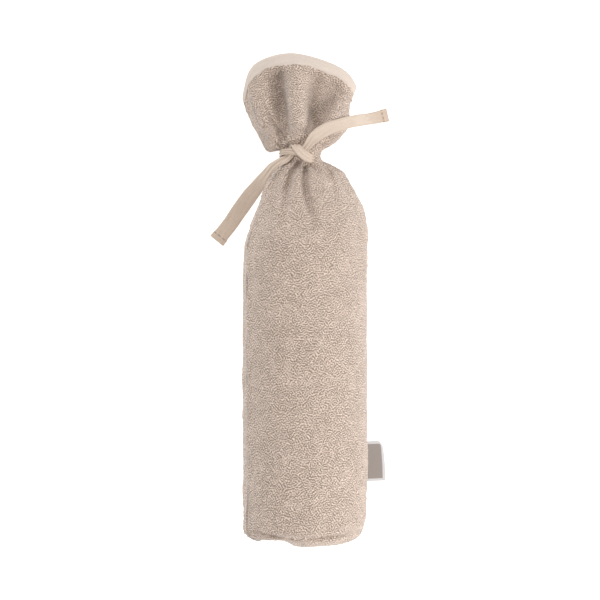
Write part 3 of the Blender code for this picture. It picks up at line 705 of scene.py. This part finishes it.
def folded(half, width, rise, crown):
    """A leg, a half-round fold and a leg, as insets from the fold's middle and depths below it."""
    leg = np.linspace(width, BINDING_ROUND, LEG_POINTS)
    turn = np.linspace(0, math.pi, FOLD_POINTS + 2)[1:-1]
    puff = crown * np.sin(math.pi * leg / width)
    inset = np.concatenate([-half - puff, -half * np.cos(turn), (half + puff)[::-1]])
    depth = np.concatenate([leg, BINDING_ROUND - rise * np.sin(turn), leg[::-1]])
    return np.stack([inset, depth], -1)


def binding_strip(node, finish):
    """A closed section, an arch over the mouth's edge and back under it, carried round the mouth.

    It follows the bag's shell, and its waves grow from nothing at the fold to its lower edges.
    """
    outer, inner = PRESSED_OUT - BINDING_SLACK, PRESSED_IN + BINDING_SLACK_IN
    middle, half = (outer + inner) / 2, (inner - outer) / 2
    fold_rise = BINDING_ROUND + BINDING_FOLD_RISE
    over = folded(half + BINDING_CLOTH, BINDING_WIDTH, fold_rise, BINDING_PUFF)
    under = folded(half, BINDING_WIDTH, BINDING_ROUND - BINDING_CLOTH, 0.0)[::-1]
    section = np.concatenate([over, under, over[:1]])
    front = columns_round(0.0, math.pi, BINDING_FRONT)
    rear = columns_round(math.pi, 2 * math.pi, BINDING_REAR)
    theta = np.concatenate([front[:-1], rear[:-1]])[:, None]
    ripple = sum(share * np.sin(count * theta + start) for count, share, start in BINDING_WAVES)
    ripple = BINDING_EDGE_WAVE * ripple * (section[:-1, 1] / BINDING_WIDTH) ** 3
    depth = section[:-1, 1] + ripple
    loops = shell(theta, LAST - depth / RIM_SPAN, middle + section[:-1, 0] + 0 * theta)
    around, size = loops.shape[:2]
    number = np.arange(around * size).reshape(around, size)
    number = np.concatenate([number, number[:, :1]], 1)
    number = np.concatenate([number, number[:1]], 0)
    crest = loops[:, LEG_POINTS + FOLD_POINTS // 2]
    step = np.linalg.norm(np.roll(crest, -1, axis=0) - crest, axis=-1)
    along = np.concatenate([[0], np.cumsum(step)])
    across = np.concatenate([[0], np.cumsum(np.linalg.norm(np.diff(section, axis=0), axis=-1))])
    laid = np.stack(np.broadcast_arrays(along[:, None], across[None, :]), -1) + PLAN_MARGIN
    return cloth_piece(node, loops.reshape(-1, 3), [patch(number, laid)], finish)


binding_jersey = jersey_finish("binding_jersey", BINDING_SHADE, BINDING_LIGHT)
binding = binding_strip("mouth_binding", binding_jersey)

# ------------------------------------------------------------------------------------------ the tie
# A flat jersey tape, its tips hemmed. It is passed once round the neck, ties it in a half knot, and
# its free ends lie down to the table on the left and over the mouth's right lobe.

NECK_X, NECK_Z = -3.2, 38.0  # the middle of the neck
NECK_RADIUS = 12.6  # less than that of its gathers, because the tape sinks in between them
NECK_ROOM = 0.6  # between the neck's cloth and the tape
TAPE_THICK = 1.1
TAPE_TIED_WIDTH = 6.6  # where the tape is pulled into a crumpled band
BAND_RADIUS = NECK_RADIUS + NECK_ROOM + TAPE_THICK / 2
BAND_STEPS = 11
TAPE_WIDTH = 10.5

# The tape's route: x, y, z of its middle line, the way its face looks and its width there. It
# starts at the tip of the left end, which lies on the table, and ends at that of the right end.
LEFT_END = (
    (-65.8, 109.2, 0.9, 0.0, 0.0, -1.0, 11.6),
    (-60.8, 115.4, 0.9, 0.0, 0.0, -1.0, 11.4),
    (-55.7, 121.8, 1.3, 0.0, 0.1, -1.0, 11.4),
    (-50.8, 128.8, 3.6, 0.1, 0.2, -1.0, 11.6),
    (-45.6, 135.7, 8.2, 0.1, 0.3, -0.9, 11.8),
    (-40.1, 142.6, 14.6, 0.15, 0.3, -0.9, 11.4),
    (-34.6, 148.9, 22.4, 0.2, 0.3, -0.9, 10.0),
    (-29.6, 154.8, 31.2, 0.4, 0.2, -0.8, 8.2),
    (-24.2, 160.6, 40.6, 0.5, 0.1, -0.7, 7.0),
)
KNOT = (
    (-17.2, 164.8, 47.6, 0.8, 0.0, -0.6, 6.6),
    (-12.9, 167.1, 49.8, 0.7, 0.0, -0.8, 6.2),
    (-9.9, 170.9, 51.8, 0.4, 0.0, -1.0, 5.8),
    (-8.4, 174.0, 53.2, 0.2, 0.4, -1.0, 6.0),
    (-7.2, 175.6, 55.4, 0.0, 1.0, 0.0, 6.2),
    (-5.8, 174.1, 57.7, 0.0, 0.4, 1.0, 6.4),
    (-3.0, 170.8, 58.4, 0.0, 0.0, 1.0, 6.8),
    (0.2, 168.1, 58.0, 0.1, -0.1, 1.0, 7.0),
    (2.9, 166.8, 55.8, 0.3, -0.2, 1.0, 6.6),
    (5.0, 166.4, 51.4, 0.6, -0.1, 0.8, 5.8),
    (6.6, 167.0, 46.2, 0.8, 0.0, 0.6, 5.4),
)
CROSSING = (
    (-17.7, 170.4, 41.0, -1.0, 0.0, 0.2, 5.4),
    (-17.2, 171.2, 46.4, -0.9, 0.0, 0.4, 4.6),
    (-14.4, 171.5, 51.4, -0.8, 0.0, 0.7, 4.2),
    (-10.8, 171.4, 54.9, -0.6, 0.0, 0.9, 4.4),
    (-6.8, 171.0, 56.3, -0.2, 0.0, 1.0, 5.0),
    (-2.5, 171.8, 56.3, 0.0, 0.0, 1.0, 5.2),
    (0.8, 174.2, 56.6, 0.1, 0.0, 1.0, 5.6),
)
RIGHT_END = (
    (3.4, 177.4, 58.0, 0.1, -0.1, 1.0, 6.8),
    (7.0, 181.2, 59.6, 0.1, 0.1, 1.0, 8.4),
    (12.0, 185.0, 58.8, 0.2, 0.3, 1.0, 9.4),
    (18.0, 188.2, 55.8, 0.3, 0.5, 1.0, 9.8),
    (24.6, 190.8, 50.6, 0.5, 0.6, 0.9, 9.8),
    (31.4, 193.4, 43.0, 0.7, 0.6, 0.7, 9.6),
    (37.2, 195.4, 33.0, 0.8, 0.6, 0.6, 9.6),
    (42.2, 197.4, 20.6, 0.8, 0.5, 0.5, 9.4),
    (47.0, 199.1, 9.0, 0.6, 0.4, 0.7, 9.2),
    (52.2, 200.7, 2.4, 0.3, 0.2, 1.0, 9.2),
    (57.2, 202.0, 0.9, 0.0, 0.0, 1.0, 9.2),
    (62.0, 203.1, 0.9, 0.0, 0.0, 1.0, 9.4),
)
TAPE_STEPS_PER_POINT = 14
TAPE_POINTS = 36  # round its section
TAPE_ROUND = 6  # power of the curve across it, whose edges are the rounder the lower it is
HEM_END = (4.4, 5.4)  # from the tip
HEM_THICKER = 0.45  # share by which the hem is thicker, and wider
HEM_WIDER = 0.07
HEM_STITCH = 4.2  # from the tip
GROOVE_DEPTH, GROOVE_WIDTH = 0.22, 0.35
CRUMPLED = (5.0, 10.0)  # widths from which it is fully crumpled, up to where it is smooth
TAPE_CRUMPLE = 0.45  # height of the creases where it is tied
CREASES = ((2.3 * math.pi, 0.5 * math.pi, 1.0), (9.5, 2.0, 0.5))  # pitch, sway and height
TAPE_WANDER = 9.0  # they sway to and fro once in about six times this length
TAPE_CURL = 0.15
TAPE_SHADE = (0.56, 0.445, 0.355, 1.0)
TAPE_LIGHT = (0.77, 0.64, 0.53, 1.0)


def tape_route():
    """The tape's stations from the left tip, through the knot, round the neck, to the right tip."""
    start = math.atan2(KNOT[-1][2] - NECK_Z, KNOT[-1][0] - NECK_X)
    end = math.atan2(CROSSING[0][2] - NECK_Z, CROSSING[0][0] - NECK_X) - 2 * math.pi
    share = (np.arange(BAND_STEPS) + 1) / (BAND_STEPS + 1)
    angle = start + (end - start) * share
    y = KNOT[-1][1] + (CROSSING[0][1] - KNOT[-1][1]) * share
    x, z = np.cos(angle), np.sin(angle)
    width = np.full(BAND_STEPS, TAPE_TIED_WIDTH)
    band = [NECK_X + BAND_RADIUS * x, y, NECK_Z + BAND_RADIUS * z, x, 0 * x, z, width]
    band = np.stack(band, -1)
    return np.concatenate([np.array(LEFT_END + KNOT), band, np.array(CROSSING + RIGHT_END)])


def tape_strip(node):
    """A flat rounded section carried along the route.

    It is bent by lengthwise creases, more so the narrower the tape is pulled, and its last few
    millimetres are thicker and wider, with a stitched groove, where each tip is hemmed.
    """
    stations = tape_route()
    steps = (len(stations) - 1) * TAPE_STEPS_PER_POINT
    values = smooth_row(stations, np.linspace(0, len(stations) - 1, steps + 1))
    middle = values[:, :3]
    ahead = np.gradient(middle, axis=0)
    ahead /= np.linalg.norm(ahead, axis=1, keepdims=True)
    side = np.cross(ahead, values[:, 3:6])
    side /= np.linalg.norm(side, axis=1, keepdims=True)
    face = np.cross(side, ahead)
    along = np.concatenate([[0], np.cumsum(np.linalg.norm(np.diff(middle, axis=0), axis=1))])
    tip = np.minimum(along, along[-1] - along)[:, None]
    hem = 1 - ease(*HEM_END, tip)
    width = values[:, 6:7] * (1 + HEM_WIDER * hem)
    tied = 1 - ease(*CRUMPLED, width)
    angle = np.linspace(0, 2 * math.pi, TAPE_POINTS + 1)[None, :-1]
    x = np.cos(angle)
    thick = TAPE_THICK / 2 * (1 + HEM_THICKER * hem)
    thick = thick - GROOVE_DEPTH * np.exp(-(((tip - HEM_STITCH) / GROOVE_WIDTH) ** 2))
    thick = thick * np.sign(np.sin(angle)) * np.sqrt(1 - np.abs(x) ** TAPE_ROUND)
    wander = np.sin(along / TAPE_WANDER)[:, None]
    crease = sum(height * np.cos(pitch * x + sway * wander) for pitch, sway, height in CREASES)
    lift = TAPE_CRUMPLE * tied * crease * (1 - 0.5 * x * x)
    lift = lift + TAPE_CURL * (1 - tied) * (x * x - 0.4)
    sideways = side[:, None] * (x * width / 2)[..., None]
    loops = middle[:, None] + sideways + face[:, None] * (thick + lift)[..., None]
    size = loops.shape[1]
    number = np.arange(loops.shape[0] * size).reshape(-1, size)
    closed = np.concatenate([number, number[:, :1]], 1)
    across = np.linspace(0, 2 * TAPE_WIDTH, size + 1)
    laid = np.stack(np.broadcast_arrays(along[:, None], across[None, :]), -1) + PLAN_MARGIN
    ends = (number[:1], number[-1:, ::-1])
    caps = [(end, np.full((1, size, 2), PLAN_MARGIN)) for end in ends]
    points = loops.reshape(-1, 3)
    hems = (HEM_STITCH, along[-1] - HEM_STITCH)
    finish = jersey_finish("tape_jersey", TAPE_SHADE, TAPE_LIGHT, hems)
    return cloth_piece(node, points, [patch(closed, laid), *caps], finish), along[-1]


tie, tape_length = tape_strip("tie")

# ---------------------------------------------------------------------------------------- the label
# A small woven label, folded double, caught in the right seam near the foot. It is taupe with a
# pale border on its three free sides, and is left bare.

LABEL_LOW = -68.3
LABEL_HIGH = -38.8
LABEL_REACH = 19.8
LABEL_THICK = 1.2
LABEL_EDGE = 0.3  # share of that left at its free edges
LABEL_SEAM_ROOM = 0.5
LABEL_CORNERS = (0.3, 4.6)  # how far its lower and its upper outer corner are rounded off
LABEL_CORNER_FROM = 0.72  # where they start to be, as a share of its reach
LABEL_CORNER_ROUND = 2.5  # the power that they follow
LABEL_TAPER = 0.1  # share by which its upper side reaches less far
LABEL_CURL = 1.6  # how far its upper outer corner hangs
LABEL_SLOPE = math.radians(-24)
LABEL_CELLS = (56, 38)
LABEL_BORDER, LABEL_BORDER_SOFT = 2.0, 0.25
WOVEN_RIB, WOVEN_WARP = 0.6, 0.5  # from one thread to the next
WOVEN_DEPTH = 0.00012
WOVEN_TAUPE = (0.37, 0.325, 0.30, 1.0)
WOVEN_DARK = (0.29, 0.25, 0.225, 1.0)
WOVEN_PALE = (0.66, 0.64, 0.64, 1.0)


def label_finish():
    """A fine woven rib, pale within the border's width of the three free edges."""
    finish = Finish("label_weave", 0.7, 0.05)
    place = on_plan(finish)
    out, up = (axis - PLAN_MARGIN for axis in plan_axes(finish, place))
    edge = out.maths("MINIMUM", LABEL_REACH - out, up)
    edge = edge.maths("MINIMUM", edge, (LABEL_HIGH - LABEL_LOW) - up)
    pale = 1 - edge.rise(LABEL_BORDER - LABEL_BORDER_SOFT, LABEL_BORDER + LABEL_BORDER_SOFT)
    rib = up.maths("SINE", up * (2 * math.pi / WOVEN_RIB)) * 0.5 + 0.5
    warp = out.maths("SINE", out * (2 * math.pi / WOVEN_WARP)) * 0.5 + 0.5
    thread = rib * 0.6 + warp * 0.4
    ground = finish.mixed(thread, WOVEN_DARK, WOVEN_TAUPE)
    return finish.done(finish.mixed(pale, ground, WOVEN_PALE), thread + pale, WOVEN_DEPTH)


def label_strip(node, finish):
    """Two layers of a flat strip from the seam: its outer corners are rounded, the upper one hangs.

    It slopes down from the seam, its thickness falls off towards its free edges, and its upper
    side reaches a little less far.
    """
    straight = [row[0] for row in SECTIONS[FIRST_STRAIGHT:]]
    below = np.interp((LABEL_LOW + LABEL_HIGH) / 2, straight, range(len(straight)))
    root = shell(0.0, FIRST_STRAIGHT + below, 0.0)
    tall, wide = LABEL_CELLS
    out, along = np.meshgrid(np.linspace(0, 1, wide + 1), np.linspace(0, 1, tall + 1))
    reach = LABEL_SEAM_ROOM + out * LABEL_REACH
    corner = np.clip((out - LABEL_CORNER_FROM) / (1 - LABEL_CORNER_FROM), 0, 1)
    low, high = (corner**LABEL_CORNER_ROUND * off for off in LABEL_CORNERS)
    y = LABEL_LOW + low + along * (LABEL_HIGH - LABEL_LOW - low - high)
    reach = reach * (1 - LABEL_TAPER * along**2)
    x = root[0] + reach * math.cos(LABEL_SLOPE)
    z = root[2] + reach * math.sin(LABEL_SLOPE) - LABEL_CURL * out**2 * along**2
    rise = np.sqrt(np.clip(1 - (2 * along - 1) ** 8, 0, None) * np.clip(1 - out**10, 0, None))
    half = LABEL_THICK / 2 * (LABEL_EDGE + (1 - LABEL_EDGE) * rise)
    upper = np.stack([x, y, z + half], -1)
    lower = np.stack([x, y, z - half], -1)
    flat_y = along * (LABEL_HIGH - LABEL_LOW)
    laid = np.stack([LABEL_SEAM_ROOM + out * LABEL_REACH, flat_y], -1) + PLAN_MARGIN
    number = np.arange(upper[..., 0].size).reshape(tall + 1, wide + 1)
    under = number + number.size
    patches = [patch(number[:, ::-1], laid[:, ::-1]), patch(under, laid)]
    ahead, backwards = slice(None), slice(None, None, -1)
    for edge in ((0, ahead), (-1, backwards), (backwards, 0), (ahead, -1)):
        wall = np.stack([number[edge], under[edge]], 0)
        patches.append(patch(wall, np.stack([laid[edge], laid[edge]], 0)))
    points = np.concatenate([upper.reshape(-1, 3), lower.reshape(-1, 3)])
    return cloth_piece(node, points, patches, finish)


label = label_strip("label", label_finish())
